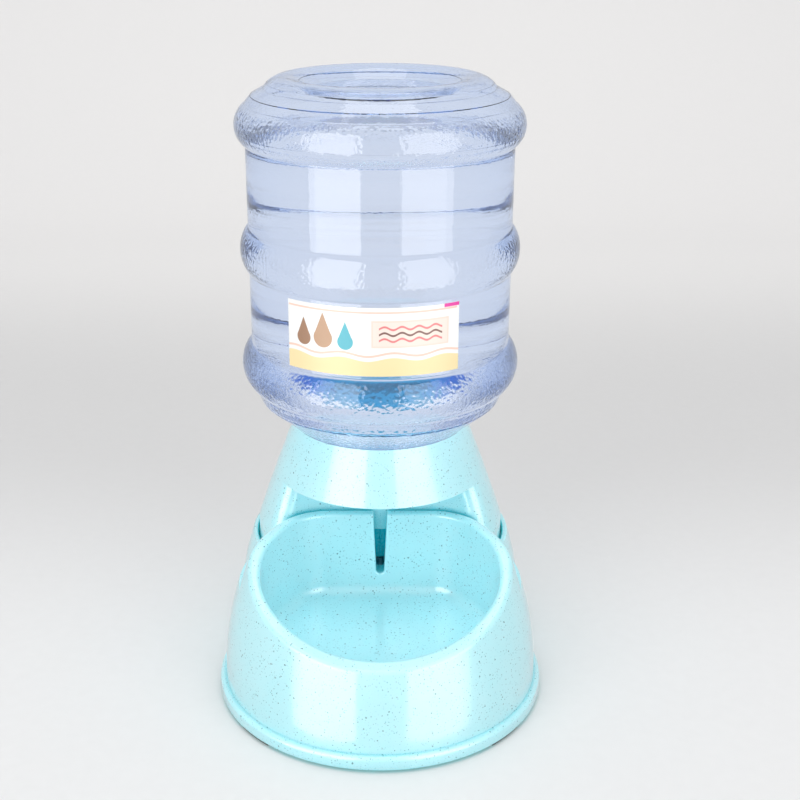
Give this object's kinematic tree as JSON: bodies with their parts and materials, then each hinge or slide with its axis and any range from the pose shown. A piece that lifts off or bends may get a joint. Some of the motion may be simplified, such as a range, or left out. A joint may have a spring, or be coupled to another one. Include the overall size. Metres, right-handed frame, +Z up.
{
  "type": "gravity pet water fountain",
  "caption": "Gravity water fountain for pets: inverted clear bottle on a bell-shaped dome with a valved screw cap, over a tray with a slotted drinking bowl.",
  "frame": {"origin": "on the floor under the middle of the base, at the underside of the foot pads", "axes": "+Z up along the bottle, -Y towards the bowl's front, +X to the right seen from the front"},
  "size_m": [0.1984, 0.268, 0.361],
  "materials": {
    "aqua_plastic": "speckled gloss",
    "clear_plastic": "clear blue tint",
    "label_print": "printed film",
    "cap_plastic": "gloss",
    "stem_plastic": "satin",
    "gasket_rubber": "matte silicone",
    "foot_rubber": "matte",
    "spring_steel": "drawn wire"
  },
  "bodies": {
    "base": {"tray": "aqua_plastic", "foot_front_left": "foot_rubber", "foot_front_right": "foot_rubber", "foot_rear_left": "foot_rubber", "foot_rear_right": "foot_rubber"},
    "dome": {"dome": "aqua_plastic"},
    "bottle": {"bottle": "clear_plastic", "bottle_neck": "clear_plastic", "label": "label_print"},
    "cap": {"cap": "cap_plastic", "cap_gasket": "gasket_rubber", "valve_cage": "cap_plastic"},
    "valve": {"valve_stem": "stem_plastic", "valve_seal": "gasket_rubber", "valve_spring": "spring_steel"}
  },
  "joints": [
    {"name": "dome_lift", "type": "slide", "parent": "base", "child": "dome", "axis": [0, 0, 1], "range_m": [0, 0.06]},
    {"name": "bottle_lift", "type": "slide", "parent": "dome", "child": "bottle", "axis": [0, 0, 1], "range_m": [0, 0.12]},
    {"name": "cap_turn", "type": "hinge", "parent": "bottle", "child": "cap", "pos_m": [0, 0.0372, 0.06], "axis": [0, 0, 1], "range_deg": [-540, 0]},
    {"name": "valve_travel", "type": "slide", "parent": "cap", "child": "valve", "axis": [0, 0, 1], "range_m": [-0.005, 0], "deforming": ["valve_spring"]}
  ],
  "couplings": [
    {"joint": "valve_travel", "follows": "bottle_lift", "ratio": -0.041667}
  ]
}
